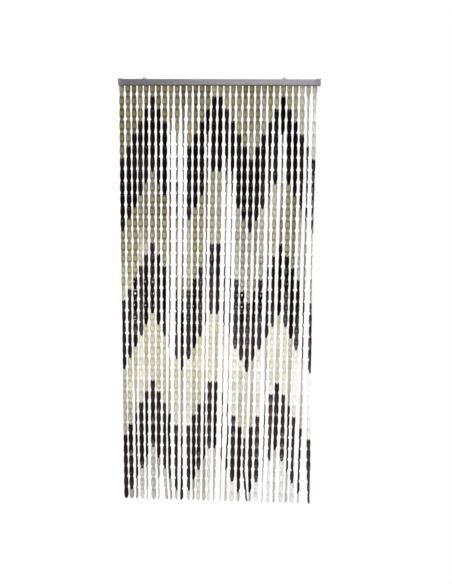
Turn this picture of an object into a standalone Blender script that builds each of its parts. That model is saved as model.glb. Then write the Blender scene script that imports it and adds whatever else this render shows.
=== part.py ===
# Fly screen curtain: strands of flat moulded links hanging from an aluminium head rail.
#
# Metres, +Z up. The origin is the middle of the rail's top face. X runs along the rail,
# and the front of the curtain faces -Y. Everything hangs below the rail.

import math

import bmesh
import bpy
from mathutils import Matrix, Vector

# Head rail: an extruded channel with well rounded lower edges and a slot underneath
RAIL_LENGTH = 0.900
RAIL_DEPTH = 0.022
RAIL_HEIGHT = 0.028
RAIL_WALL = 0.0013
RAIL_SLOT = 0.010
RAIL_EDGE = 0.0015
RAIL_LOW_EDGE = 0.0045
CLEARANCE = 0.0003

# End caps: a plate with a skirt that slips over the rail's end
CAP_PLATE = 0.002
CAP_SKIRT = 0.018
CAP_WALL = 0.001
CAP_ROUND = 0.0015

# Hangers: a foot on the rail's top and an upright eye
HANGER_PLACES = {"left": -0.334, "right": 0.290}
FOOT_LENGTH = 0.022
FOOT_WIDTH = 0.012
FOOT_THICK = 0.0012
EYE_RISE = 0.0048
EYE_RADIUS = 0.0048
EYE_HOLE = 0.0033
EYE_THICK = 0.002
EYE_BASE = 0.018
EYE_ARC_START = 10
EYE_ARC_STEPS = 8
EYE_HOLE_SIDES = 16

# Strands
STRANDS = 32
LINKS = 36
STRAND_PITCH = 0.0278
STRAND_SHIFT = -0.005
LINK_PITCH = 0.0547
FIRST_LINE = -0.020
STRANDS_PER_STRIP = 8

# Carrier strip that rests on the rail's lips and holds the strands' roots
STRIP_WIDTH = 0.014
STRIP_THICK = 0.003
STRIP_GAP = 0.007

# One link, measured down from its line: widest at its shoulder, narrowest at its waist
LINK_WIDTH = 0.0216
ROOT_WIDTH = 0.0190
WAIST_WIDTH = 0.0150
TAIL_WIDTH = 0.0090
LINK_THICK = 0.0046
SHOULDER_DROP = 0.024
WAIST_DROP = 0.045
TAIL_DROP = 0.050

# Chevron: dark runs of links, which start this many links lower than the chevron's peaks
DARK_RUN = 6
CHEVRON_REPEAT = 12
CHEVRON_FIRST = 1
CHEVRON_STEPS = (5, 4, 3, 2, 1, 0, 1, 2, 3, 4, 5, 4, 3, 2, 1, 0,
                 0, 1, 2, 3, 4, 5, 4, 3, 2, 1, 0, 1, 2, 3, 4, 5)

# How far each strand has turned about its own length, in degrees, at these link rows
FIRST_TURN = 5
TURN_ROWS = (2, 5, 9, 15, 21, 27, 32, 35)
TURNS = (
    (0, 5, 0, 20, 30, 20, 15, 5),
    (40, 10, 10, 35, 55, 10, 20, 10),
    (10, 0, 15, 10, 0, 60, 55, 60),
    (30, 5, 10, 45, 35, 5, 10, 40),
    (35, 5, 25, 10, 10, 35, 55, 75),
    (20, 0, 5, 5, 15, 10, 20, 10),
    (15, 40, 30, 40, 15, 5, 25, 85),
    (20, 0, 0, 40, 60, 55, 50, 65),
    (40, 85, 65, 65, 85, 50, 45, 55),
    (0, 85, 75, 80, 70, 15, 55, 65),
    (45, 80, 80, 70, 40, 50, 70, 50),
    (45, 15, 20, 35, 5, 15, 45, 50),
    (40, 10, 5, 20, 20, 20, 25, 60),
    (15, 0, 25, 25, 25, 45, 25, 40),
    (10, 75, 60, 85, 80, 70, 50, 35),
    (20, 0, 10, 20, 45, 5, 45, 70),
    (20, 5, 0, 25, 35, 40, 45, 70),
    (20, 50, 80, 85, 80, 90, 85, 80),
    (45, 20, 85, 85, 75, 85, 70, 60),
    (0, 0, 10, 10, 10, 30, 0, 15),
    (30, 5, 5, 15, 5, 20, 20, 45),
    (20, 20, 5, 55, 10, 60, 60, 75),
    (25, 5, 5, 65, 35, 55, 10, 60),
    (40, 0, 25, 0, 0, 30, 10, 25),
    (20, 50, 65, 75, 40, 85, 90, 85),
    (20, 20, 15, 50, 30, 15, 60, 50),
    (5, 85, 60, 45, 35, 0, 50, 65),
    (0, 0, 5, 0, 25, 35, 5, 25),
    (40, 25, 35, 45, 15, 65, 75, 60),
    (0, 20, 50, 55, 10, 35, 55, 20),
    (80, 70, 80, 70, 90, 55, 75, 70),
    (55, 25, 55, 85, 45, 50, 20, 65),
)

# How far each strand hangs to one side of plumb, in millimetres, at these link rows
SWAY_ROWS = (8, 18, 28, 33, 36)
SWAYS = (
    (-3, -3, -3, -3, -2),
    (0, -3, -6, -4, -3),
    (-1, -4, -6, -4, -4),
    (-3, -4, -9, -7, -6),
    (-5, -9, -10, -10, -9),
    (-3, -7, -8, -8, -6),
    (-3, -6, -8, -9, -8),
    (-3, -7, -8, -8, 2),
    (-5, -8, -11, -12, -3),
    (-2, -5, -8, -8, -7),
    (-1, -5, -8, -8, -9),
    (-2, -4, -5, -3, -3),
    (-1, -4, -6, -6, -6),
    (0, -5, -9, -11, -11),
    (-4, -7, -10, -11, -12),
    (-5, -10, -15, -16, -17),
    (-3, -8, -15, -17, -19),
    (1, -5, -10, -14, -16),
    (0, -5, -10, -15, -17),
    (1, -5, -11, -14, -16),
    (-1, -5, -8, -11, -12),
    (0, -4, -10, -15, 2),
    (1, -5, -10, -13, -10),
    (-1, -5, -8, -10, -11),
    (1, 1, -1, -5, -6),
    (-1, -2, -2, -6, -7),
    (3, 1, -3, -6, -6),
    (4, 4, 1, 0, -1),
    (5, 3, 0, -1, -3),
    (6, 2, -3, -5, -4),
    (4, 3, 4, 0, 0),
    (3, 7, 12, 18, 23),
)

# Links rock a little against each other: degrees, and how fast that changes
ROCK_DEGREES = 5
ROCK_PER_ROW = 2.4
ROCK_PER_STRAND = 1.7

# Short bends where a strand has caught on itself: strand, row, millimetres to one side
BEND_REACH_ROWS = 1.5
BENDS = (
    (2, 13, 3),
    (3, 14, -3),
    (8, 21.5, -4),
    (8, 29.5, -4),
    (18, 27.8, -3),
    (18, 29.6, 4),
    (21, 30.5, -1),
)


def clear_scene():
    for thing in list(bpy.data.objects):
        bpy.data.objects.remove(thing, do_unlink=True)


def plain_material(name, colour, roughness, metallic):
    material = bpy.data.materials.new(name)
    material.use_nodes = True
    shader = material.node_tree.nodes["Principled BSDF"]
    shader.inputs["Base Color"].default_value = (*colour, 1.0)
    shader.inputs["Roughness"].default_value = roughness
    shader.inputs["Metallic"].default_value = metallic
    material.diffuse_color = (*colour, 1.0)
    return material


def object_from(bm, name, *materials):
    bmesh.ops.recalc_face_normals(bm, faces=bm.faces)
    mesh = bpy.data.meshes.new(name)
    bm.to_mesh(mesh)
    bm.free()
    for material in materials:
        mesh.materials.append(material)
    thing = bpy.data.objects.new(name, mesh)
    bpy.context.collection.objects.link(thing)
    return thing


def extrude_outline(outline, depth, name, *materials):
    """A prism: the outline's points are 3-D, and depth is the vector it is pushed along."""
    bm = bmesh.new()
    face = bm.faces.new([bm.verts.new(point) for point in outline])
    pushed = bmesh.ops.extrude_face_region(bm, geom=[face])
    moved = [item for item in pushed["geom"] if isinstance(item, bmesh.types.BMVert)]
    bmesh.ops.translate(bm, verts=moved, vec=depth)
    return object_from(bm, name, *materials)


def corner(centre_across, centre_z, radius, start, steps=2):
    """Points of an upright quarter round, from a start angle in degrees, turning left."""
    points = []
    for step in range(steps + 1):
        angle = math.radians(start + 90 * step / steps)
        points.append((centre_across + radius * math.cos(angle),
                       centre_z + radius * math.sin(angle)))
    return points


def rail_outline():
    """The channel's section as (y, z): closed on top, with two lips beside the slot."""
    half = RAIL_DEPTH / 2
    inner = half - RAIL_WALL
    round_y = half - RAIL_EDGE
    top_z = -RAIL_EDGE
    low_y = half - RAIL_LOW_EDGE
    low_z = -RAIL_HEIGHT + RAIL_LOW_EDGE
    inner_edge = RAIL_LOW_EDGE - RAIL_WALL
    lip_z = -RAIL_HEIGHT + RAIL_WALL
    slot = RAIL_SLOT / 2
    points = corner(round_y, top_z, RAIL_EDGE, 0)
    points += corner(-round_y, top_z, RAIL_EDGE, 90)
    points += corner(-low_y, low_z, RAIL_LOW_EDGE, 180, 4)
    points += [(-slot, -RAIL_HEIGHT), (-slot, lip_z)]
    points += corner(-low_y, low_z, inner_edge, 180, 4)[::-1]
    points += [(-inner, -RAIL_WALL), (inner, -RAIL_WALL)]
    points += corner(low_y, low_z, inner_edge, 270, 4)[::-1]
    points += [(slot, lip_z), (slot, -RAIL_HEIGHT)]
    points += corner(low_y, low_z, RAIL_LOW_EDGE, 270, 4)
    return points


def build_rail(aluminium):
    length = RAIL_LENGTH - 2 * (CAP_PLATE + CLEARANCE)
    outline = [(-length / 2, y, z) for y, z in rail_outline()]
    return extrude_outline(outline, (length, 0, 0), "rail", aluminium)


def box_bmesh(low, high):
    bm = bmesh.new()
    bmesh.ops.create_cube(bm, size=1.0)
    for vert in bm.verts:
        for axis in range(3):
            vert.co[axis] = high[axis] if vert.co[axis] > 0 else low[axis]
    return bm


def build_cap(side, sign, plastic):
    """A plate over the rail's end, with a skirt over the channel's top, front and back."""
    inner_y = RAIL_DEPTH / 2 + CLEARANCE
    outer_y = inner_y + CAP_WALL
    high_z = CLEARANCE + CAP_WALL
    end_x = sign * RAIL_LENGTH / 2
    plate_x = end_x - sign * CAP_PLATE
    skirt_x = plate_x - sign * CAP_SKIRT
    past_x = skirt_x - sign * CAP_SKIRT
    round_x = end_x - sign * CAP_ROUND
    outline = [(skirt_x, -outer_y, high_z)]
    for x, z in corner(0, high_z - CAP_ROUND, CAP_ROUND, 0)[::-1]:
        outline.append((round_x + sign * x, -outer_y, z))
    for x, z in corner(0, CAP_ROUND - RAIL_HEIGHT, CAP_ROUND, 270)[::-1]:
        outline.append((round_x + sign * x, -outer_y, z))
    outline.append((skirt_x, -outer_y, -RAIL_HEIGHT))
    cap = extrude_outline(outline, (0, 2 * outer_y, 0), "end_cap_" + side, plastic)
    room_bm = box_bmesh((min(plate_x, past_x), -inner_y, -RAIL_HEIGHT * 2),
                        (max(plate_x, past_x), inner_y, CLEARANCE))
    room = object_from(room_bm, "cap_room_" + side)
    add_boolean(cap, room, "DIFFERENCE")
    return cap


def build_hanger(side, place, steel):
    """An eye plate cut from one piece: a flat foot and an upright triangle with a round hole."""
    foot_top = FOOT_THICK + CLEARANCE
    hole_z = foot_top + EYE_RISE
    base_z = foot_top - FOOT_THICK / 2
    outline = [(-EYE_BASE / 2, base_z), (EYE_BASE / 2, base_z)]
    for step in range(EYE_ARC_STEPS + 1):
        angle = math.radians(EYE_ARC_START + (180 - 2 * EYE_ARC_START) * step / EYE_ARC_STEPS)
        outline.append((EYE_RADIUS * math.cos(angle), hole_z + EYE_RADIUS * math.sin(angle)))
    outline = [(place + x, -EYE_THICK / 2, z) for x, z in outline]
    eye = extrude_outline(outline, (0, EYE_THICK, 0), "hanger_" + side, steel)

    foot_bm = box_bmesh((place - FOOT_LENGTH / 2, -FOOT_WIDTH / 2, CLEARANCE),
                        (place + FOOT_LENGTH / 2, FOOT_WIDTH / 2, foot_top))
    foot = object_from(foot_bm, "hanger_foot_" + side, steel)
    add_boolean(eye, foot, "UNION")

    hole_bm = bmesh.new()
    bmesh.ops.create_cone(hole_bm, cap_ends=True, segments=EYE_HOLE_SIDES,
                          radius1=EYE_HOLE, radius2=EYE_HOLE, depth=EYE_THICK * 3)
    bmesh.ops.rotate(hole_bm, verts=hole_bm.verts, cent=(0, 0, 0),
                     matrix=Matrix.Rotation(math.radians(90), 3, "X"))
    bmesh.ops.translate(hole_bm, verts=hole_bm.verts, vec=(place, 0, hole_z))
    hole = object_from(hole_bm, "hanger_hole_" + side)
    add_boolean(eye, hole, "DIFFERENCE")
    return eye


def add_boolean(target, tool, operation):
    tool.hide_render = True
    tool.display_type = "WIRE"
    modifier = target.modifiers.new(operation.lower(), "BOOLEAN")
    modifier.operation = operation
    modifier.solver = "EXACT"
    modifier.object = tool


def is_dark(strand, row):
    return (row - CHEVRON_FIRST - CHEVRON_STEPS[strand]) % CHEVRON_REPEAT < DARK_RUN


def between(rows, values, row, start):
    """The value at a row, in straight steps between the table's rows, from start at row 0."""
    last_row = 0
    last_value = start
    for next_row, next_value in zip(rows, values):
        if row <= next_row:
            share = (row - last_row) / (next_row - last_row)
            return last_value + (next_value - last_value) * share
        last_row = next_row
        last_value = next_value
    return last_value


def turn_at(strand, row):
    """Turn in radians. Strands turn alternately left and right, and links rock a little."""
    rocking = ROCK_DEGREES * math.sin(ROCK_PER_ROW * row + ROCK_PER_STRAND * strand)
    side = 1 if strand % 2 else -1
    turned = between(TURN_ROWS, TURNS[strand], row, FIRST_TURN)
    return math.radians(side * turned + rocking)


def sway_at(strand, row):
    """Sideways sway in metres, with the short bends added."""
    sway = between(SWAY_ROWS, SWAYS[strand], row, 0)
    for bent_strand, bent_row, amount in BENDS:
        if bent_strand == strand:
            sway += amount * max(0, 1 - abs(row - bent_row) / BEND_REACH_ROWS)
    return sway / 1000


def ring_points(strand, row, z, width):
    """Three points of a flat triangular section, turned with the strand."""
    centre_x = STRAND_SHIFT + (strand - (STRANDS - 1) / 2) * STRAND_PITCH + sway_at(strand, row)
    turn = turn_at(strand, row)
    section = ((-width / 2, LINK_THICK / 3), (width / 2, LINK_THICK / 3), (0, -2 * LINK_THICK / 3))
    points = []
    for across, depth in section:
        x = centre_x + across * math.cos(turn) - depth * math.sin(turn)
        y = across * math.sin(turn) + depth * math.cos(turn)
        points.append(Vector((x, y, z)))
    return points


def add_strand(bm, strand, root_z):
    """A chain of tapered links as one closed body: a shoulder and a waist ring for each link."""
    rings = [(0.0, root_z, ROOT_WIDTH, 0)]
    for row in range(LINKS):
        line_z = FIRST_LINE - row * LINK_PITCH
        last = row == LINKS - 1
        drop = TAIL_DROP if last else WAIST_DROP
        width = TAIL_WIDTH if last else WAIST_WIDTH
        rings.append((row + SHOULDER_DROP / LINK_PITCH, line_z - SHOULDER_DROP, LINK_WIDTH, row))
        rings.append((row + drop / LINK_PITCH, line_z - drop, width, row))
    above = None
    for row_place, z, width, row in rings:
        verts = [bm.verts.new(point) for point in ring_points(strand, row_place, z, width)]
        if above is None:
            bm.faces.new(verts)
        else:
            for side in range(3):
                corners = (above[side], above[(side + 1) % 3], verts[(side + 1) % 3], verts[side])
                add_shortest_pair(bm, corners, 1 if is_dark(strand, row) else 0)
        above = verts
    bm.faces.new(above[::-1])


def add_shortest_pair(bm, corners, material_index):
    """Two triangles over four corners, split along the shorter diagonal."""
    a, b, c, d = corners
    if (a.co - c.co).length <= (b.co - d.co).length:
        pair = ((a, b, c), (a, c, d))
    else:
        pair = ((a, b, d), (b, c, d))
    for trio in pair:
        face = bm.faces.new(trio)
        face.material_index = material_index


def build_strip(number, cream, brown):
    """Eight strands with their roots fused into one carrier strip."""
    first = (number - 1) * STRANDS_PER_STRIP
    middle = first + (STRANDS_PER_STRIP - 1) / 2 - (STRANDS - 1) / 2
    centre_x = STRAND_SHIFT + middle * STRAND_PITCH
    half_x = STRANDS_PER_STRIP * STRAND_PITCH / 2 - STRIP_GAP / 2
    low_z = -RAIL_HEIGHT + RAIL_WALL + CLEARANCE
    strip_bm = box_bmesh((centre_x - half_x, -STRIP_WIDTH / 2, low_z),
                         (centre_x + half_x, STRIP_WIDTH / 2, low_z + STRIP_THICK))
    strip = object_from(strip_bm, "strands_" + str(number), cream, brown)
    chain_bm = bmesh.new()
    for strand in range(first, first + STRANDS_PER_STRIP):
        add_strand(chain_bm, strand, low_z + STRIP_THICK / 2)
    chains = object_from(chain_bm, "chains_" + str(number), cream, brown)
    add_boolean(strip, chains, "UNION")
    return strip


def main():
    clear_scene()
    aluminium = plain_material("satin_aluminium", (0.46, 0.45, 0.48), 0.38, 1.0)
    grey_plastic = plain_material("grey_plastic", (0.42, 0.41, 0.43), 0.5, 0.0)
    zinc_steel = plain_material("zinc_steel", (0.45, 0.45, 0.47), 0.4, 1.0)
    cream = plain_material("cream_plastic", (0.62, 0.58, 0.42), 0.35, 0.0)
    brown = plain_material("brown_plastic", (0.035, 0.022, 0.02), 0.3, 0.0)
    build_rail(aluminium)
    build_cap("left", -1, grey_plastic)
    build_cap("right", 1, grey_plastic)
    for side, place in HANGER_PLACES.items():
        build_hanger(side, place, zinc_steel)
    for number in range(1, STRANDS // STRANDS_PER_STRIP + 1):
        build_strip(number, cream, brown)


main()
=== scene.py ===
# %% [markdown]
# # A fly screen curtain of moulded links
# The real thing is a door curtain: thirty-two chains of flat plastic links hang from an
# aluminium rail, and insects stay out while people push through. The rail, its caps and its
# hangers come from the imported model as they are, and only get better finishes here. The chains
# are plain tapered solids there, so this script builds every link properly in their place.

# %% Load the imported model
import math
import random

import bmesh
import bpy
from mathutils import Matrix, Vector, noise


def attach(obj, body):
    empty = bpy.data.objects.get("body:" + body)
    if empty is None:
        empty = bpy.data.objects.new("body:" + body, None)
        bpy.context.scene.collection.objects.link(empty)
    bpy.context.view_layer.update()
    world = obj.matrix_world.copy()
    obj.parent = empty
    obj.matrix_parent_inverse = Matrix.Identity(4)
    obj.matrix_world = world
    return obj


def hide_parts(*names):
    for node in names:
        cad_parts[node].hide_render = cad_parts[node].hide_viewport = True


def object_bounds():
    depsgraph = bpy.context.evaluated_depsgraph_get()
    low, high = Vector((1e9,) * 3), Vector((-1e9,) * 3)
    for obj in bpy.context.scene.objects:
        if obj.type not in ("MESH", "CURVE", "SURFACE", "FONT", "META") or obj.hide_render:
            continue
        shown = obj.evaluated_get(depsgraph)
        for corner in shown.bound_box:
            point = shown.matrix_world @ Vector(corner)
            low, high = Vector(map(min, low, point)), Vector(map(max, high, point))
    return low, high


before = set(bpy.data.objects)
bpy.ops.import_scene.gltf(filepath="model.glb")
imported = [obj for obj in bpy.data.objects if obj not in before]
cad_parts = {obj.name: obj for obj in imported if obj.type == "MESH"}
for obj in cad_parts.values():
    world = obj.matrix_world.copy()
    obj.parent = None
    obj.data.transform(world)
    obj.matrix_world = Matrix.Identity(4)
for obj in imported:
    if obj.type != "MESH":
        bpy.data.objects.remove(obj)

cad_low, cad_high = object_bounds()
print("CAD box in metres:", [round(value, 4) for value in (*cad_low, *cad_high)])

# %% [markdown]
# ## Two small helpers
# Colours are easiest to choose as the hex codes that a paint or plastics chart gives, but
# Blender calculates in linear light, so one function converts them. Materials are built from
# nodes, and one function adds a node with its settings and whatever feeds its sockets.

# %% Colour and node helpers
MM = 0.001
HEX_TOP = 255


def linear_colour(code):
    """An sRGB hex code such as "8C8A84" as linear red, green, blue and alpha."""
    channels = []
    for start in (0, 2, 4):
        value = int(code[start:start + 2], 16) / HEX_TOP
        # The sRGB curve: a short straight part for the darkest values, and a power above it
        channels.append(value / 12.92 if value <= 0.04045 else ((value + 0.055) / 1.055) ** 2.4)
    return (*channels, 1.0)


def add_node(tree, kind, settings=None, sockets=None):
    """Adds a node. Each socket gets a plain value, or a link if the value is another socket."""
    node = tree.nodes.new(kind)
    for name, value in (settings or {}).items():
        setattr(node, name, value)
    for name, value in (sockets or {}).items():
        if isinstance(value, bpy.types.NodeSocket):
            tree.links.new(value, node.inputs[name])
        else:
            node.inputs[name].default_value = value
    return node


def new_material(name, **sockets):
    """A material with one Principled shader. An underscore in a socket's name is a space."""
    material = bpy.data.materials.new(name)
    material.use_nodes = True
    shader = material.node_tree.nodes["Principled BSDF"]
    for socket, value in sockets.items():
        shader.inputs[socket.replace("_", " ")].default_value = value
    return material, material.node_tree, shader


print("mid grey in linear light:", round(linear_colour("808080")[0], 4))

# %% [markdown]
# ## Satin anodised aluminium for the rail
# The rail is an extrusion: aluminium is pushed through a die, which leaves fine straight lines
# along its length, and it is then etched and anodised, which turns the shine satin and a little
# violet grey. To the eye it is an even grey metal that picks up soft light, with faint streaks
# that all run lengthwise. A metal's colour is its reflection, so the streaks go into roughness
# and a very shallow bump, and only slightly into the colour.

# %% Satin anodised aluminium
# Real die lines are finer: these are drawn as coarse as they need to be to show in the render
DIE_LINE_MM = 0.9
DIE_LINE_LENGTH_MM = 120
DIE_LINE_DEPTH_MM = 0.05


def satin_aluminium():
    """An even metal with die lines along the rail, mostly in its roughness."""
    material, tree, shader = new_material("anodised_aluminium", Metallic=1.0)
    place = add_node(tree, "ShaderNodeTexCoord")
    stretched = add_node(tree, "ShaderNodeMapping", sockets={
        "Vector": place.outputs["Object"],
        "Scale": (1 / (DIE_LINE_LENGTH_MM * MM), 1 / (DIE_LINE_MM * MM), 1 / (DIE_LINE_MM * MM)),
    })
    lines = add_node(tree, "ShaderNodeTexNoise", sockets={
        "Vector": stretched.outputs["Vector"], "Scale": 1.0, "Detail": 3.0, "Roughness": 0.6,
    })
    tone = add_node(tree, "ShaderNodeMix", {"data_type": "RGBA"}, {
        "Factor": lines.outputs["Fac"],
        "A": linear_colour("D3CFD7"), "B": linear_colour("E2DFE6"),
    })
    gloss = add_node(tree, "ShaderNodeMapRange", sockets={
        "Value": lines.outputs["Fac"], "From Min": 0.3, "From Max": 0.7,
        "To Min": 0.30, "To Max": 0.44,
    })
    relief = add_node(tree, "ShaderNodeBump", sockets={
        "Height": lines.outputs["Fac"], "Strength": 0.12,
        "Distance": DIE_LINE_DEPTH_MM * MM,
    })
    tree.links.new(tone.outputs["Result"], shader.inputs["Base Color"])
    tree.links.new(gloss.outputs["Result"], shader.inputs["Roughness"])
    tree.links.new(relief.outputs["Normal"], shader.inputs["Normal"])
    return material


def refinish(node, material):
    """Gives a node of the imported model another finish, and leaves its shape alone."""
    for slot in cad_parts[node].material_slots:
        slot.material = material


refinish("rail", satin_aluminium())
print("rail refinished, slots:", len(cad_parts["rail"].material_slots))

# %% [markdown]
# ## Moulded silver-grey plastic for the end caps
# The caps are injection-moulded ABS with fine aluminium flake in it, to match the rail. The flake
# gives the plastic some of a metal's shine, so the caps turn darker or lighter with what is
# around them, as the rail does. The steel mould was spark eroded, which leaves a fine even grain:
# no mirror shine, and a soft highlight along edges. A small noise gives the grain, and a slow
# one the faint cloudiness of coloured plastic. The strips inside the rail are the same plastic.

# %% Spark-grained plastic with aluminium flake
MOULD_GRAIN_MM = 0.35
MOULD_GRAIN_DEPTH_MM = 0.04
CLOUD_MM = 14


def spark_grained_plastic():
    """A partly metallic plastic with slow clouds in its colour and a finely grained relief."""
    material, tree, shader = new_material("silver_flake_abs", Metallic=0.7, Roughness=0.42)
    place = add_node(tree, "ShaderNodeTexCoord")
    clouds = add_node(tree, "ShaderNodeTexNoise", sockets={
        "Vector": place.outputs["Object"], "Scale": 1 / (CLOUD_MM * MM), "Detail": 2.0,
    })
    grain = add_node(tree, "ShaderNodeTexNoise", sockets={
        "Vector": place.outputs["Object"], "Scale": 1 / (MOULD_GRAIN_MM * MM), "Detail": 1.0,
    })
    tone = add_node(tree, "ShaderNodeMix", {"data_type": "RGBA"}, {
        "Factor": clouds.outputs["Fac"],
        "A": linear_colour("C8C5CC"), "B": linear_colour("D2CFD5"),
    })
    relief = add_node(tree, "ShaderNodeBump", sockets={
        "Height": grain.outputs["Fac"], "Strength": 0.35,
        "Distance": MOULD_GRAIN_DEPTH_MM * MM,
    })
    tree.links.new(tone.outputs["Result"], shader.inputs["Base Color"])
    tree.links.new(relief.outputs["Normal"], shader.inputs["Normal"])
    return material


cap_plastic = spark_grained_plastic()
for cap in ("end_cap_left", "end_cap_right"):
    refinish(cap, cap_plastic)
print("caps refinished:", cap_plastic.name)

# %% [markdown]
# ## Zinc plated steel for the hangers
# Each hanger is stamped from thin steel and barrel plated with zinc. The plating is a dull
# blue-grey with crystals a few millimetres across, each a little lighter or darker, and the
# tumbling leaves it scuffed. Voronoi cells stand for the crystals.

# %% Barrel-plated zinc
ZINC_CRYSTAL_MM = 2.2
SCUFF_MM = 0.8


def barrel_plated_zinc():
    """A dull metal, a little lighter or darker from crystal to crystal, and scuffed."""
    material, tree, shader = new_material("zinc_plated_steel", Metallic=1.0)
    place = add_node(tree, "ShaderNodeTexCoord")
    crystals = add_node(tree, "ShaderNodeTexVoronoi", sockets={
        "Vector": place.outputs["Object"], "Scale": 1 / (ZINC_CRYSTAL_MM * MM),
    })
    scuffs = add_node(tree, "ShaderNodeTexNoise", sockets={
        "Vector": place.outputs["Object"], "Scale": 1 / (SCUFF_MM * MM), "Detail": 4.0,
    })
    tone = add_node(tree, "ShaderNodeMix", {"data_type": "RGBA"}, {
        "Factor": crystals.outputs["Color"],
        "A": linear_colour("BBBDC1"), "B": linear_colour("D6D8DB"),
    })
    gloss = add_node(tree, "ShaderNodeMapRange", sockets={
        "Value": scuffs.outputs["Fac"], "From Min": 0.3, "From Max": 0.7,
        "To Min": 0.32, "To Max": 0.55,
    })
    tree.links.new(tone.outputs["Result"], shader.inputs["Base Color"])
    tree.links.new(gloss.outputs["Result"], shader.inputs["Roughness"])
    return material


hanger_steel = barrel_plated_zinc()
for hanger in ("hanger_left", "hanger_right"):
    refinish(hanger, hanger_steel)
print("hangers refinished:", hanger_steel.name)

# %% [markdown]
# ## The shape of one link
# A link is one small moulding. Its broad body is a thin panel inside a rounded rim, with a
# thicker bar at the top, which has a slot, and another at the shoulder, where the body narrows
# to a neck. The neck comes forward over the next link and ends in a pointed tail, and the tail
# curls back through that link's slot. The links hang on each other like this, with no pins.
#
# It could be cut from a slab with modifiers, but a loft is shorter and lighter: a table says how
# wide and thick the link is at some heights, and rings of points are joined into faces.

# %% Table of one link
# Drop below the link's line, half width, half thickness at the rim and at the panel, and how
# far forward of the link's own plane, all in millimetres
LINK_STATIONS = (
    (-5.0, 7.5, 0.6, 0.5, 0.0),
    (-4.3, 8.9, 1.5, 1.3, 0.0),
    (-2.2, 9.6, 1.8, 1.6, 0.0),
    (1.4, 10.0, 1.8, 1.6, 0.0),
    (4.0, 10.2, 1.8, 1.6, 0.0),
    (7.6, 10.6, 1.8, 1.5, 0.0),
    (8.8, 10.7, 1.8, 0.7, 0.0),
    (16.0, 11.2, 1.8, 0.6, 0.0),
    (24.0, 11.4, 1.8, 0.6, 0.0),
    (29.5, 11.2, 1.9, 0.7, 0.0),
    (31.0, 11.0, 2.0, 1.8, 0.0),
    (35.5, 10.1, 1.9, 1.8, 0.1),
    (39.5, 9.1, 1.4, 1.2, 0.8),
    (45.0, 8.1, 1.0, 0.8, 2.5),
    (50.0, 7.4, 0.9, 0.8, 3.4),
    (54.0, 5.4, 0.9, 0.9, 3.5),
    (57.2, 2.2, 0.8, 0.8, 2.2),
    (57.9, 1.8, 0.7, 0.7, 0.0),
    (57.9, 1.3, 0.5, 0.5, -2.6),
)
print("a link is", 2 * max(station[1] for station in LINK_STATIONS), "mm wide")

# %% [markdown]
# ## Rings and faces of one link
# Each ring stands square to the line that the link follows, so that the hooked tail keeps its
# thickness while it turns. Four faces are added inside the slot, which leaves the link closed, as
# a moulding is. There are over a thousand links, so each has few faces.

# %% One link as rings
# The slot goes through between these two rings
SLOT_BETWEEN = (3, 4)
# Shares of the half width: the rim's outer slope and top, where the panel starts, half the slot
PANEL_FROM = 0.70
COLUMNS = (0.95, 0.84, PANEL_FROM, 0.19)
# The rim's outer slope is lower than its top, which rounds its edge
EDGE_SOFTNESS = 0.62


def link_section(half_width, rim, panel):
    """One ring as (across, depth) points: left edge, along the front, right edge, and back."""
    depths = (rim * EDGE_SOFTNESS, rim, panel, panel)
    left_half = [(-half_width * share, depth) for share, depth in zip(COLUMNS, depths)]
    front = left_half + [(-across, depth) for across, depth in left_half[::-1]]
    back = [(across, -depth) for across, depth in front[::-1]]
    return [(-half_width, 0.0), *front, (half_width, 0.0), *back]


def link_rings():
    """Every ring's points as (across, forward, drop) and the wall thickness there, in mm."""
    points = []
    walls = []
    for index, (drop, half_width, rim, panel, forward) in enumerate(LINK_STATIONS):
        before = LINK_STATIONS[max(index - 1, 0)]
        after = LINK_STATIONS[min(index + 1, len(LINK_STATIONS) - 1)]
        along = Vector((after[0] - before[0], after[4] - before[4])).normalized()
        for across, depth in link_section(half_width, rim, panel):
            points.append((across, forward + depth * along.x, drop - depth * along.y))
            half_wall = rim if abs(across) > half_width * PANEL_FROM else panel
            walls.append(2 * half_wall)
    return points, walls


def link_faces(ring_size):
    """Quads between the rings, two end faces, and a slot cut through the top bar."""
    faces = []
    # The ring starts at the left edge, so the middle of its front is a quarter of the way round
    front_middle = ring_size // 4
    back_middle = front_middle + ring_size // 2
    for ring in range(len(LINK_STATIONS) - 1):
        for side in range(ring_size):
            if ring == SLOT_BETWEEN[0] and side in (front_middle, back_middle):
                continue
            upper = ring * ring_size
            lower = upper + ring_size
            beside = (side + 1) % ring_size
            faces.append((upper + side, upper + beside, lower + beside, lower + side))
    top, bottom = (ring * ring_size for ring in SLOT_BETWEEN)
    left_front, right_front = front_middle, front_middle + 1
    right_back, left_back = back_middle, back_middle + 1
    faces.append((top + left_front, top + left_back, top + right_back, top + right_front))
    faces.append((bottom + left_front, bottom + right_front,
                  bottom + right_back, bottom + left_back))
    faces.append((top + left_front, bottom + left_front, bottom + left_back, top + left_back))
    faces.append((top + right_front, top + right_back, bottom + right_back, bottom + right_front))
    last = (len(LINK_STATIONS) - 1) * ring_size
    faces.append(tuple(range(ring_size))[::-1])
    faces.append(tuple(last + side for side in range(ring_size)))
    return faces


link_points, link_walls = link_rings()
link_polygons = link_faces(len(link_points) // len(LINK_STATIONS))
print("one link:", len(link_points), "points,", len(link_polygons), "faces")

# %% [markdown]
# ## How the chains hang
# The chains are 27.8 mm apart, and each link is 54.7 mm below the last. On the real curtain each
# chain has its own twist, and each leans or bends a little where it has caught on itself. The
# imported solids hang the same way, so the tables and formulas here are the ones that shape them.
# The strands and rows are counted from 0, from the left and from the top.

# %% Size of the curtain
STRANDS = 32
LINKS = 36
STRANDS_PER_STRIP = 8
# In metres, from the middle of the rail's top. The whole row of strands is set a little to the left
STRAND_PITCH = 0.0278
STRAND_SHIFT = -0.005
LINK_PITCH = 0.0547
FIRST_LINE = -0.020


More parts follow.
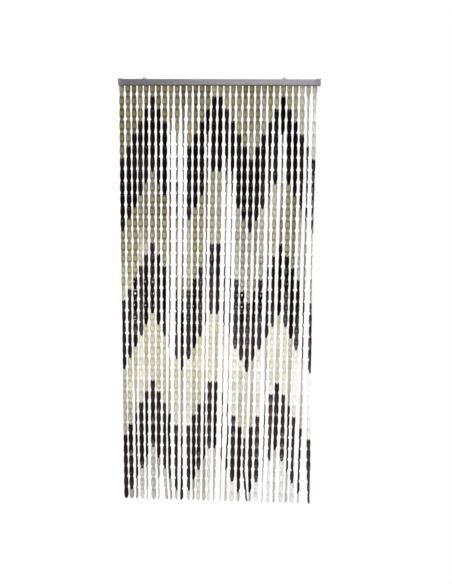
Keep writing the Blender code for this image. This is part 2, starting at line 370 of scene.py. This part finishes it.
def between(rows, values, row, start):
    """The value at a row, in straight steps between the table's rows, from start at row 0."""
    last_row = 0
    last_value = start
    for next_row, next_value in zip(rows, values):
        if row <= next_row:
            share = (row - last_row) / (next_row - last_row)
            return last_value + (next_value - last_value) * share
        last_row = next_row
        last_value = next_value
    return last_value


print("curtain:", STRANDS, "strands of", LINKS, "links,", round(LINKS * LINK_PITCH, 2), "m long")

# %% [markdown]
# ## How each chain turns
# Seen from the front, a chain that has turned shows its edges and looks thin, so the widths in
# the photo say how far each has turned. They can't say to which side, so neighbours turn
# alternately. A table is used, since nothing about a hanging chain's twist is regular.

# %% Turns
# Turn of each strand about its own length, in degrees, at the top and at these rows of links
FIRST_TURN = 5
TURN_ROWS = (2, 5, 9, 15, 21, 27, 32, 35)
TURNS = (
    (0, 5, 0, 20, 30, 20, 15, 5),
    (40, 10, 10, 35, 55, 10, 20, 10),
    (10, 0, 15, 10, 0, 60, 55, 60),
    (30, 5, 10, 45, 35, 5, 10, 40),
    (35, 5, 25, 10, 10, 35, 55, 75),
    (20, 0, 5, 5, 15, 10, 20, 10),
    (15, 40, 30, 40, 15, 5, 25, 85),
    (20, 0, 0, 40, 60, 55, 50, 65),
    (40, 85, 65, 65, 85, 50, 45, 55),
    (0, 85, 75, 80, 70, 15, 55, 65),
    (45, 80, 80, 70, 40, 50, 70, 50),
    (45, 15, 20, 35, 5, 15, 45, 50),
    (40, 10, 5, 20, 20, 20, 25, 60),
    (15, 0, 25, 25, 25, 45, 25, 40),
    (10, 75, 60, 85, 80, 70, 50, 35),
    (20, 0, 10, 20, 45, 5, 45, 70),
    (20, 5, 0, 25, 35, 40, 45, 70),
    (20, 50, 80, 85, 80, 90, 85, 80),
    (45, 20, 85, 85, 75, 85, 70, 60),
    (0, 0, 10, 10, 10, 30, 0, 15),
    (30, 5, 5, 15, 5, 20, 20, 45),
    (20, 20, 5, 55, 10, 60, 60, 75),
    (25, 5, 5, 65, 35, 55, 10, 60),
    (40, 0, 25, 0, 0, 30, 10, 25),
    (20, 50, 65, 75, 40, 85, 90, 85),
    (20, 20, 15, 50, 30, 15, 60, 50),
    (5, 85, 60, 45, 35, 0, 50, 65),
    (0, 0, 5, 0, 25, 35, 5, 25),
    (40, 25, 35, 45, 15, 65, 75, 60),
    (0, 20, 50, 55, 10, 35, 55, 20),
    (80, 70, 80, 70, 90, 55, 75, 70),
    (55, 25, 55, 85, 45, 50, 20, 65),
)
# Each link also rocks a little, and out of step with the ones around it
ROCK_DEGREES = 5
ROCK_PER_ROW = 2.4
ROCK_PER_STRAND = 1.7


def turn_at(strand, row):
    """Turn in radians. Strands turn alternately left and right, and links rock a little."""
    rocking = ROCK_DEGREES * math.sin(ROCK_PER_ROW * row + ROCK_PER_STRAND * strand)
    side = 1 if strand % 2 else -1
    return math.radians(side * between(TURN_ROWS, TURNS[strand], row, FIRST_TURN) + rocking)


print("turn of the first strand's lowest link:", round(math.degrees(turn_at(0, LINKS - 1)), 1))

# %% [markdown]
# ## How each chain leans
# The chains swing a little out of plumb, more towards their free ends, and some have a short
# bend. The line of each chain runs through its links' joints.

# %% Sways and bends
# How far each strand hangs to one side of plumb, in millimetres, at these rows of links
SWAY_ROWS = (8, 18, 28, 33, 36)
SWAYS = (
    (-3, -3, -3, -3, -2),
    (0, -3, -6, -4, -3),
    (-1, -4, -6, -4, -4),
    (-3, -4, -9, -7, -6),
    (-5, -9, -10, -10, -9),
    (-3, -7, -8, -8, -6),
    (-3, -6, -8, -9, -8),
    (-3, -7, -8, -8, 2),
    (-5, -8, -11, -12, -3),
    (-2, -5, -8, -8, -7),
    (-1, -5, -8, -8, -9),
    (-2, -4, -5, -3, -3),
    (-1, -4, -6, -6, -6),
    (0, -5, -9, -11, -11),
    (-4, -7, -10, -11, -12),
    (-5, -10, -15, -16, -17),
    (-3, -8, -15, -17, -19),
    (1, -5, -10, -14, -16),
    (0, -5, -10, -15, -17),
    (1, -5, -11, -14, -16),
    (-1, -5, -8, -11, -12),
    (0, -4, -10, -15, 2),
    (1, -5, -10, -13, -10),
    (-1, -5, -8, -10, -11),
    (1, 1, -1, -5, -6),
    (-1, -2, -2, -6, -7),
    (3, 1, -3, -6, -6),
    (4, 4, 1, 0, -1),
    (5, 3, 0, -1, -3),
    (6, 2, -3, -5, -4),
    (4, 3, 4, 0, 0),
    (3, 7, 12, 18, 23),
)
# Short bends where a strand has caught on itself: strand, row, millimetres to one side
BEND_REACH_ROWS = 1.5
BENDS = (
    (2, 13, 3), (3, 14, -3), (8, 21.5, -4), (8, 29.5, -4),
    (18, 27.8, -3), (18, 29.6, 4), (21, 30.5, -1),
)


def line_point(strand, row):
    """Where the line of a link is: the place of the joint above it, in metres."""
    sway = between(SWAY_ROWS, SWAYS[strand], row, 0)
    for bent_strand, bent_row, amount in BENDS:
        if bent_strand == strand:
            sway += amount * max(0, 1 - abs(row - bent_row) / BEND_REACH_ROWS)
    x = STRAND_SHIFT + (strand - (STRANDS - 1) / 2) * STRAND_PITCH + sway * MM
    return Vector((x, 0.0, FIRST_LINE - row * LINK_PITCH))


print("lowest joint of the last strand, from plumb:",
      round((line_point(STRANDS - 1, LINKS) - line_point(STRANDS - 1, 0)).x / MM, 1), "mm")

# %% [markdown]
# ## The place of each link
# A moulded link is stiff and can't bend or twist, so each takes one turn, read at its middle,
# and one lean, from its own joint to the next.

# %% Place of each link
MID_LINK = 0.5


def lean_at(strand, row):
    """Lean in radians that points a link from its own joint to the next."""
    down = line_point(strand, row + 1) - line_point(strand, row)
    return math.atan2(-down.x, -down.z)


def link_matrix(strand, row):
    """Turns a link about its length, leans it towards the next joint and moves it there."""
    lean = Matrix.Rotation(lean_at(strand, row), 4, "Y")
    turn = Matrix.Rotation(turn_at(strand, row + MID_LINK), 4, "Z")
    return Matrix.Translation(line_point(strand, row)) @ lean @ turn


steepest = max(abs(lean_at(strand, row)) for strand in range(STRANDS) for row in range(LINKS))
print("steepest lean of a link in degrees:", round(math.degrees(steepest), 1))

# %% [markdown]
# ## Which links are dark
# The pattern is the common chevron: on each chain six dark links follow six cream ones, and the
# run starts one link lower on each neighbour until the slope turns. The charted steps say how
# many links lower each chain's run starts.

# %% The chevron
CHEVRON_REPEAT = 12
DARK_RUN = 6
CHEVRON_FIRST = 1
CHEVRON_STEPS = (5, 4, 3, 2, 1, 0, 1, 2, 3, 4, 5, 4, 3, 2, 1, 0,
                 0, 1, 2, 3, 4, 5, 4, 3, 2, 1, 0, 1, 2, 3, 4, 5)


def is_dark(strand, row):
    """Whether a link is one of the six dark ones in its run of twelve."""
    return (row - CHEVRON_FIRST - CHEVRON_STEPS[strand]) % CHEVRON_REPEAT < DARK_RUN


for row in range(CHEVRON_REPEAT):
    print("".join("#" if is_dark(strand, row) else "." for strand in range(STRANDS)))

# %% [markdown]
# ## Two plastics for the links
# Both kinds of link are injection-moulded in a soft plastic, polyethylene, straight from a
# polished mould, so they have a smooth low shine. The cream one has little pigment: light comes
# through it, thin panels look pale, and thick bars look darker and more olive. The dark one has
# much pigment and hides nearly all light, but its thin panels still look a warm purple brown.
#
# Each link carries three numbers on its points, and the shaders read them, which keeps a
# thousand links in two materials. All three go from 0 to 1: how pale the link is, which is its
# own tone with painted light in it, its batch, from straw yellow to beige, and the wall there,
# from thin panel to thick bar. Each plastic has one row of colours for its thin walls and one for
# its thick ones, from dark to pale. The difference between the two rows is painted light: the
# shaders pass no more light through a thin wall, so thin panels are painted paler and thick bars
# darker.

# %% What both plastics share
FLOW_CLOUD_MM = 9
SKIN_MM = 1.6
SKIN_DEPTH_MM = 0.15
SKIN_STRENGTH = 0.15
CLOUD_SHARE = 0.25


def link_numbers(tree):
    """The three numbers on each point: paleness, batch and wall, as three sockets."""
    carried = add_node(tree, "ShaderNodeAttribute", {"attribute_name": "link_numbers"})
    split = add_node(tree, "ShaderNodeSeparateColor", sockets={"Color": carried.outputs["Color"]})
    return split.outputs["Red"], split.outputs["Green"], split.outputs["Blue"]


def moulded_skin(tree, shader):
    """Faint waves in the surface and faint clouds in the colour, as flowing plastic leaves."""
    place = add_node(tree, "ShaderNodeTexCoord")
    waves = add_node(tree, "ShaderNodeTexNoise", sockets={
        "Vector": place.outputs["Object"], "Scale": 1 / (SKIN_MM * MM), "Detail": 2.0,
    })
    relief = add_node(tree, "ShaderNodeBump", sockets={
        "Height": waves.outputs["Fac"], "Strength": SKIN_STRENGTH,
        "Distance": SKIN_DEPTH_MM * MM,
    })
    tree.links.new(relief.outputs["Normal"], shader.inputs["Normal"])
    clouds = add_node(tree, "ShaderNodeTexNoise", sockets={
        "Vector": place.outputs["Object"], "Scale": 1 / (FLOW_CLOUD_MM * MM), "Detail": 1.0,
    })
    return clouds.outputs["Fac"], relief.outputs["Normal"]


def colour_ramp(tree, factor, stops):
    """A ramp through hex colours at the given places from 0 to 1."""
    ramp = add_node(tree, "ShaderNodeValToRGB", sockets={"Fac": factor})
    elements = ramp.color_ramp.elements
    while len(elements) < len(stops):
        elements.new(0.5)
    for element, (place, code) in zip(elements, stops):
        element.position = place
        element.color = linear_colour(code)
    return ramp.outputs["Color"]


print("skin waves of", SKIN_MM, "mm and colour clouds of", FLOW_CLOUD_MM, "mm")

# %% [markdown]
# ## Cream polyethylene
# Natural polyethylene is milky, and a little pigment makes it cream. A plain surface shader
# would make it look like paint, so nearly half of it is a translucent one, which shows the light
# from behind. Its colour comes from the wall and the paleness, and is tinted by the batch. Both
# carry painted light: thin walls are painted paler and thick bars darker and more olive, and the
# paleness is painted higher towards the right, as light from that side.

# %% Cream polyethylene
# Thin walls are painted paler than thick ones: painted light through the plastic
THIN_CREAM = (
    (0.0, "A29B7A"), (0.2, "BDB696"), (0.44, "C8C2A9"), (0.84, "EEEBDF"), (1.0, "FCFCFA"))
THICK_CREAM = (
    (0.0, "4A442A"), (0.2, "6A6343"), (0.44, "90896D"), (0.84, "DEDBCD"), (1.0, "F8F8F4"))
BATCH_HUES = ((0.0, "FFFCBC"), (0.5, "FBFAE8"), (1.0, "F2F1FC"))
# Links paler than this show less and less of their batch's hue, down to the least share
HUE_FADES_FROM = 0.36
LEAST_HUE = 0.25
THROUGH_SHARE = 0.45


def cream_plastic():
    """Part of the light bounces off the skin, and the through share glows out of the far side."""
    material, tree, shader = new_material("cream_polyethylene", Roughness=0.26, IOR=1.51)
    pale, batch, wall = link_numbers(tree)
    clouds, normal = moulded_skin(tree, shader)
    # Mixed by the wall: painted light through thin walls, painted shade in thick bars
    tone_with_painted_light = add_node(tree, "ShaderNodeMix", {"data_type": "RGBA"}, {
        "Factor": wall, "A": colour_ramp(tree, pale, THIN_CREAM),
        "B": colour_ramp(tree, pale, THICK_CREAM),
    })
    hue_strength = add_node(tree, "ShaderNodeMapRange", sockets={
        "Value": pale, "From Min": HUE_FADES_FROM, "To Min": 1.0, "To Max": LEAST_HUE,
    })
    lit = add_node(tree, "ShaderNodeMix", {"data_type": "RGBA", "blend_type": "MULTIPLY"}, {
        "Factor": hue_strength.outputs["Result"], "A": tone_with_painted_light.outputs["Result"],
        "B": colour_ramp(tree, batch, BATCH_HUES),
    })
    clouded = add_node(tree, "ShaderNodeMix", {"data_type": "RGBA", "blend_type": "MULTIPLY"}, {
        "Factor": CLOUD_SHARE, "A": lit.outputs["Result"], "B": clouds,
    })
    tree.links.new(clouded.outputs["Result"], shader.inputs["Base Color"])
    glow = add_node(tree, "ShaderNodeBsdfTranslucent", sockets={
        "Color": lit.outputs["Result"], "Normal": normal,
    })
    blend = add_node(tree, "ShaderNodeMixShader", sockets={"Fac": THROUGH_SHARE})
    tree.links.new(shader.outputs["BSDF"], blend.inputs[1])
    tree.links.new(glow.outputs["BSDF"], blend.inputs[2])
    surface = tree.nodes["Material Output"].inputs["Surface"]
    tree.links.new(blend.outputs["Shader"], surface)
    return material


link_plastics = {"cream": cream_plastic()}
print("translucent share of the cream links:", THROUGH_SHARE)

# %% [markdown]
# ## Dark brown polyethylene
# Much brown pigment lets next to no light through, and the shader lets none. What little the thin
# panels pass is painted into their colour: they are painted paler and warmer than the thick bars.
# Paler brown links lower down and to the right carry a painted sheen. Low roughness keeps the
# glints on its polished skin small and sharp, and a low specular level keeps the light of the room
# from greying the panels.

# %% Dark brown polyethylene
# Thin panels are painted paler and warmer than thick bars: painted light through them
THIN_BROWN = ((0.0, "110603"), (1.0, "6C545A"))
THICK_BROWN = ((0.0, "070302"), (0.12, "261919"), (0.3, "38292B"), (1.0, "423437"))


def brown_plastic():
    """Opaque, with its colour from the wall and the paleness, which both carry painted light."""
    material, tree, shader = new_material(
        "dark_brown_polyethylene", Roughness=0.07, IOR=1.51, Specular_IOR_Level=0.15)
    pale, _, wall = link_numbers(tree)
    clouds, _ = moulded_skin(tree, shader)
    # Mixed by the wall: painted light through the thin panels
    tone_with_painted_light = add_node(tree, "ShaderNodeMix", {"data_type": "RGBA"}, {
        "Factor": wall, "A": colour_ramp(tree, pale, THIN_BROWN),
        "B": colour_ramp(tree, pale, THICK_BROWN),
    })
    clouded = add_node(tree, "ShaderNodeMix", {"data_type": "RGBA", "blend_type": "MULTIPLY"}, {
        "Factor": CLOUD_SHARE, "A": tone_with_painted_light.outputs["Result"], "B": clouds,
    })
    tree.links.new(clouded.outputs["Result"], shader.inputs["Base Color"])
    return material


link_plastics["brown"] = brown_plastic()
print("link plastics:", [material.name for material in link_plastics.values()])

# %% [markdown]
# ## How pale each link is, and of which batch
# The chevron makes bands across the curtain: four runs of cream links, and between them three
# of brown ones. On the real curtain the cream looks darkest and most olive at the upper left, and
# palest at the lower right, where most light comes through. So each band has a value at its left
# end and one at its right, and a link takes what lies between them. The steps from band to band
# are the plastic's own tone, but the rise from each band's left end to its right end is painted
# light from the right. A run of brown has two values at each end, one for its upper and one for
# its lower half, and the brown is painted paler downwards and to the right as a painted sheen.

# %% Values of the bands
# Painted light: values rise towards the right for light from that side, and brown ones downwards
PALENESS_AND_LIGHT_LEFT = {"cream": (0.33, 0.36, 0.75, 0.77), "brown": (0.0, 0.0, 0.02, 0.16, 0.21, 0.19)}
PALENESS_AND_LIGHT_RIGHT = {"cream": (0.87, 0.63, 0.90, 1.2), "brown": (0.0, 0.04, 0.04, 0.17, 0.28, 0.31)}
BATCH_LEFT = (0.66, 0.42, 0.46, 1.1)
BATCH_RIGHT = (0.4, 1.05, 0.88, 1.0)


def band_value(strand, row, colour, left, right):
    """The value for the band that a link is in, between the band's left and right ends."""
    repeat, place = divmod(row - CHEVRON_FIRST - CHEVRON_STEPS[strand], CHEVRON_REPEAT)
    # The uppermost cream run belongs to repeat -1, and each brown run has two bands
    band = repeat + 1 if colour == "cream" else 2 * repeat + 2 * place // DARK_RUN
    return left[band] + (right[band] - left[band]) * strand / (STRANDS - 1)


top_values = [band_value(strand, 0, "cream", PALENESS_AND_LIGHT_LEFT["cream"], PALENESS_AND_LIGHT_RIGHT["cream"])
              for strand in range(STRANDS)]
print("cream along the top, left to right:", [round(value, 2) for value in top_values[::6]])

# %% [markdown]
# ## Patches, and chains and links that differ
# The links look as if they came from several batches, so patches of them, whole chains and
# single links differ a little from their band. Smooth noise gives the patches, and random
# numbers give the rest. The seeds were chosen so that the light and dark chains fall about
# where they do on the real one.

# %% Paleness and batch of each link
PALENESS_SPREAD = {"cream": 1.0, "brown": 0.4}
# A change is multiplied by how far a link is from this value, so the palest links change least
STEADY_TONE = 1.25
# Patches: how many strands wide, how many rows high, which slice of the noise, how strong
TONE_PATCHES = (4.5, 4.0, 1558.3, 0.4)
BATCH_PATCHES = (6.0, 7.5, 634.5, 0.55)
# How much a whole chain and a single link may differ, either way
TONE_BY_STRAND = 0.14
TONE_BY_LINK = 0.14
BATCH_BY_STRAND = 0.14
BATCH_BY_LINK = 0.12
tone_picker = random.Random(15577)
strand_tone = [tone_picker.uniform(-1, 1) for strand in range(STRANDS)]
link_tone = {(strand, row): tone_picker.uniform(-1, 1)
             for strand in range(STRANDS) for row in range(LINKS)}
batch_picker = random.Random(22132)
strand_batch = [batch_picker.uniform(-1, 1) for strand in range(STRANDS)]


def patches(strand, row, strands_wide, rows_high, slice_at, strength):
    """Slow changes over the curtain, to either side of 0."""
    return strength * noise.noise(Vector((strand / strands_wide, row / rows_high, slice_at)))


def held_in(value):
    """The value, held between 0 and 1."""
    return min(1.0, max(0.0, value))


def paleness(strand, row, colour):
    """0 is the darkest link of its colour and 1 the palest, with painted light in the value."""
    tone = band_value(strand, row, colour, PALENESS_AND_LIGHT_LEFT[colour], PALENESS_AND_LIGHT_RIGHT[colour])
    change = patches(strand, row, *TONE_PATCHES)
    change += TONE_BY_STRAND * strand_tone[strand] + TONE_BY_LINK * link_tone[strand, row]
    return held_in(tone + PALENESS_SPREAD[colour] * (STEADY_TONE - tone) * change)


def batch_hue(strand, row):
    """0 is straw yellow and 1 is beige. Only the cream plastic shows it."""
    hue = band_value(strand, row, "cream", BATCH_LEFT, BATCH_RIGHT)
    hue += patches(strand, row, *BATCH_PATCHES)
    hue += BATCH_BY_STRAND * strand_batch[strand] + BATCH_BY_LINK * link_tone[strand, row]
    return held_in(hue)


for edge_strand in (0, STRANDS - 1):
    tones = [paleness(edge_strand, row, "brown" if is_dark(edge_strand, row) else "cream")
             for row in range(LINKS)]
    print("paleness down strand", edge_strand, [round(tone, 2) for tone in tones])

# %% [markdown]
# ## Hanging the links
# One mesh for each strip and colour keeps the file light, and still lets a strip's cream or brown
# links be picked alone. The copies of the one link are placed by their matrices and written
# into the mesh directly, which takes seconds, where joining a thousand objects would take
# minutes. The lowest link of each chain has a shorter tail, since no other link hangs on it.

# %% Build the chains
# The wall thicknesses that count as 0 and as 1 for the shaders
THIN_WALL_MM = 1.2
THICK_WALL_MM = 3.8
# What is lower than this on a lowest link is shortened to this share
TAIL_FROM_MM = 36
TAIL_SHARE = 0.64
SHARP_FROM_DEGREES = 50


def chain_mesh(name, strands, colour):
    """Every link of one colour on some strands, as one mesh with the numbers on its points."""
    points = []
    polygons = []
    numbers = []
    for strand in strands:
        for row in range(LINKS):
            if is_dark(strand, row) != (colour == "brown"):
                continue
            first = len(points)
            matrix = link_matrix(strand, row)
            for across, forward, drop in link_points:
                if row == LINKS - 1 and drop > TAIL_FROM_MM:
                    drop = TAIL_FROM_MM + (drop - TAIL_FROM_MM) * TAIL_SHARE
                points.append(matrix @ Vector((across * MM, -forward * MM, -drop * MM)))
            polygons += [tuple(first + corner for corner in polygon) for polygon in link_polygons]
            tone = paleness(strand, row, colour)
            batch = batch_hue(strand, row)
            for wall in link_walls:
                thickness = max(0.0, (wall - THIN_WALL_MM) / (THICK_WALL_MM - THIN_WALL_MM))
                numbers += (tone, batch, thickness, 1.0)
    mesh = bpy.data.meshes.new(name)
    mesh.from_pydata(points, [], polygons)
    carried = mesh.attributes.new("link_numbers", "FLOAT_COLOR", "POINT")
    carried.data.foreach_set("color", numbers)
    mesh.polygons.foreach_set("use_smooth", [True] * len(mesh.polygons))
    mesh.set_sharp_from_angle(angle=math.radians(SHARP_FROM_DEGREES))
    mesh.validate()
    return mesh


def hang_chains(strip):
    """The cream and the brown links of one strip."""
    strands = range((strip - 1) * STRANDS_PER_STRIP, strip * STRANDS_PER_STRIP)
    for colour, material in link_plastics.items():
        name = f"{colour}_links_{strip}"
        piece = bpy.data.objects.new(name, chain_mesh(name, strands, colour))
        bpy.context.collection.objects.link(piece)
        piece.data.materials.append(material)
        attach(piece, "root")
        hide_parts(f"strands_{strip}")
        print(name, len(piece.data.polygons), "faces")


for strip in range(1, STRANDS // STRANDS_PER_STRIP + 1):
    hang_chains(strip)

# %% [markdown]
# ## The strips inside the rail
# Each group of eight chains hangs on a strip that lies on the rail's two lips. The strip can
# only be seen through the slot from below, so it is a plain bar with eased edges.

# %% Carrier strips
# In metres, with the strip's underside at STRIP_LOW
STRIP_WIDTH = 0.014
STRIP_THICK = 0.003
STRIP_GAP = 0.007
STRIP_LOW = -0.0264
STRIP_EDGE = 0.0004


def carrier_strip(strip):
    """One bar, as long as its eight strands are wide, less a small gap to the next."""
    middle = (strip - 0.5) * STRANDS_PER_STRIP - STRANDS / 2
    length = STRANDS_PER_STRIP * STRAND_PITCH - STRIP_GAP
    bm = bmesh.new()
    bmesh.ops.create_cube(bm, size=1.0)
    bmesh.ops.scale(bm, vec=(length, STRIP_WIDTH, STRIP_THICK), verts=bm.verts)
    bmesh.ops.bevel(bm, geom=bm.edges[:], offset=STRIP_EDGE, segments=2, affect="EDGES")
    bmesh.ops.translate(bm, verts=bm.verts, vec=(
        STRAND_SHIFT + middle * STRAND_PITCH, 0, STRIP_LOW + STRIP_THICK / 2))
    name = f"carrier_strip_{strip}"
    mesh = bpy.data.meshes.new(name)
    bm.to_mesh(mesh)
    bm.free()
    mesh.materials.append(cap_plastic)
    piece = bpy.data.objects.new(name, mesh)
    bpy.context.collection.objects.link(piece)
    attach(piece, "root")
    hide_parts(f"strands_{strip}")
    return piece


for strip in range(1, STRANDS // STRANDS_PER_STRIP + 1):
    print(carrier_strip(strip).name)

# %% [markdown]
# ## Floor
# A plain floor lies a little below the lowest links. The camera sees it white, so that it runs
# into the white sky. For the light that it sends back up it is a dark grey, since a white floor
# this large would light the rail from below and lose the dark line along its rolled lower edge.

# %% Floor
# In metres: how far it lies below the lowest link, and half its side
FLOOR_DROP = 0.06
FLOOR_HALF = 30


def pale_floor():
    """A flat square that is white to the camera and dark grey to every other ray."""
    bm = bmesh.new()
    bmesh.ops.create_grid(bm, x_segments=1, y_segments=1, size=FLOOR_HALF)
    bmesh.ops.translate(bm, verts=bm.verts, vec=(0, 0, cad_low.z - FLOOR_DROP))
    mesh = bpy.data.meshes.new("floor")
    bm.to_mesh(mesh)
    bm.free()
    material, tree, shader = new_material(
        "white_vinyl_sweep", Base_Color=linear_colour("444442"), Roughness=0.9)
    white = add_node(tree, "ShaderNodeEmission", sockets={"Color": linear_colour("FFFFFF")})
    ray = add_node(tree, "ShaderNodeLightPath")
    both = add_node(tree, "ShaderNodeMixShader", sockets={0: ray.outputs["Is Camera Ray"]})
    tree.links.new(shader.outputs["BSDF"], both.inputs[1])
    tree.links.new(white.outputs["Emission"], both.inputs[2])
    tree.links.new(both.outputs["Shader"], tree.nodes["Material Output"].inputs["Surface"])
    mesh.materials.append(material)
    piece = bpy.data.objects.new("floor", mesh)
    bpy.context.collection.objects.link(piece)
    return piece


print("floor at", round(pale_floor().data.vertices[0].co.z, 3))

# %% [markdown]
# ## Sky
# Most light comes from behind the curtain and from the lower right, and shines through the cream
# links, which is why they are palest there; their colour also holds painted light from that side.
# So the sky is white to the camera, and for the light it gives it grows stronger towards the lower
# right and is nearly dark in front.

# %% Sky
SKY_LEFT = 0.94
SKY_RIGHT = 3.6
FRONT_SHADE = 0.05
BRIGHT_SIDE = (0.9, 0, -0.4)
DARK_FRONT = (-0.2, -0.98, 0)
# How much a direction has to point forwards for the shade to start, and to be full
SHADE_STARTS = -0.3
SHADE_FULL = 0.95


def studio_sky():
    """A world whose light depends on its direction, and which the camera sees as plain white."""
    world = bpy.data.worlds.new("studio_sky")
    world.use_nodes = True
    tree = world.node_tree
    tree.nodes.clear()
    place = add_node(tree, "ShaderNodeTexCoord")
    rightwards = add_node(tree, "ShaderNodeVectorMath", {"operation": "DOT_PRODUCT"}, {
        0: place.outputs["Generated"], 1: Vector(BRIGHT_SIDE).normalized(),
    })
    side = add_node(tree, "ShaderNodeMapRange", sockets={
        "Value": rightwards.outputs["Value"], "From Min": -1.0, "From Max": 1.0,
        "To Min": SKY_LEFT, "To Max": SKY_RIGHT,
    })
    forwards = add_node(tree, "ShaderNodeVectorMath", {"operation": "DOT_PRODUCT"}, {
        0: place.outputs["Generated"], 1: Vector(DARK_FRONT).normalized(),
    })
    shade = add_node(tree, "ShaderNodeMapRange", sockets={
        "Value": forwards.outputs["Value"], "From Min": SHADE_STARTS, "From Max": SHADE_FULL,
        "To Min": 1.0, "To Max": FRONT_SHADE,
    })
    strength = add_node(tree, "ShaderNodeMath", {"operation": "MULTIPLY"}, {
        0: side.outputs["Result"], 1: shade.outputs["Result"],
    })
    light = add_node(tree, "ShaderNodeBackground", sockets={
        "Color": linear_colour("FFFFFF"), "Strength": strength.outputs["Value"],
    })
    seen = add_node(tree, "ShaderNodeBackground", sockets={
        "Color": linear_colour("FFFFFF"), "Strength": 1.0,
    })
    ray = add_node(tree, "ShaderNodeLightPath")
    both = add_node(tree, "ShaderNodeMixShader", sockets={0: ray.outputs["Is Camera Ray"]})
    tree.links.new(light.outputs["Background"], both.inputs[1])
    tree.links.new(seen.outputs["Background"], both.inputs[2])
    add_node(tree, "ShaderNodeOutputWorld", sockets={"Surface": both.outputs["Shader"]})
    bpy.context.scene.world = world
    return world


print("sky:", studio_sky().name)

# %% [markdown]
# ## Lamps
# Three soft boxes stand in front. The low key lights the lower links and has a limited beam,
# which keeps it off the rail. The gridded box is low and narrow, and gives the small glints on
# dark links a little below the middle. The rail strip stands higher than the rail and gives its
# front face a soft shine. The beams are narrow or the boxes small, so few watts are enough.

# %% Lamps
# Name, place, the point it faces, width, height, watts, beam in degrees
LAMPS = (
    ("low_key", (1.3, -1.9, -1.75), (0.1, 0, -1.6), 1.6, 1.6, 12.0, 75),
    ("gridded_box", (-0.9, -3.4, -1.55), (-0.3, 0, -1.0), 1.2, 0.3, 2.2, 24),
    ("rail_strip", (0.3, -3.4, 0.45), (0, 0, -0.01), 1.6, 0.3, 3.5, 180),
)


def soft_lamp(name, place, target, width, height, watts, beam):
    """A flat lamp that the camera can't see, round if it is as wide as it is high."""
    light = bpy.data.lights.new(name, "AREA")
    light.shape = "DISK" if height == width else "RECTANGLE"
    light.size = width
    light.size_y = height
    light.energy = watts
    light.spread = math.radians(beam)
    lamp = bpy.data.objects.new(name, light)
    lamp.location = place
    lamp.rotation_euler = (Vector(target) - Vector(place)).to_track_quat("-Z", "Y").to_euler()
    lamp.visible_camera = False
    bpy.context.collection.objects.link(lamp)
    return lamp


print("lamps:", [soft_lamp(*lamp).name for lamp in LAMPS])

# %% [markdown]
# ## Camera
# The view comes from a little right of the middle and from 0.4 m below the rail, tipped down. The
# place, angles and lens were worked out from where the rail's ends, the strands and the dark
# links' ends are in the photo.

# %% Camera
# In metres and radians
CAMERA_PLACE = (0.2152, -3.368, -0.4219)
CAMERA_YAW = -0.0519
CAMERA_PITCH = -0.1571
CAMERA_ROLL = 0.0092
FOCAL_MM = 30.225
SENSOR_HEIGHT_MM = 24


def photo_camera():
    """Points the camera along its yaw and pitch, rolls it, and makes it the scene's."""
    data = bpy.data.cameras.new("camera")
    data.sensor_fit = "VERTICAL"
    data.sensor_height = SENSOR_HEIGHT_MM
    data.lens = FOCAL_MM
    camera = bpy.data.objects.new("camera", data)
    forward = Vector((math.cos(CAMERA_PITCH) * math.sin(CAMERA_YAW),
                      math.cos(CAMERA_PITCH) * math.cos(CAMERA_YAW), math.sin(CAMERA_PITCH)))
    level = forward.to_track_quat("-Z", "Y").to_matrix()
    rolled = level @ Matrix.Rotation(CAMERA_ROLL, 3, "Z")
    camera.matrix_world = Matrix.Translation(CAMERA_PLACE) @ rolled.to_4x4()
    bpy.context.collection.objects.link(camera)
    bpy.context.scene.camera = camera
    return camera


print("camera:", photo_camera().name, "at", CAMERA_PLACE)
bpy.context.scene.view_settings.view_transform = "Standard"
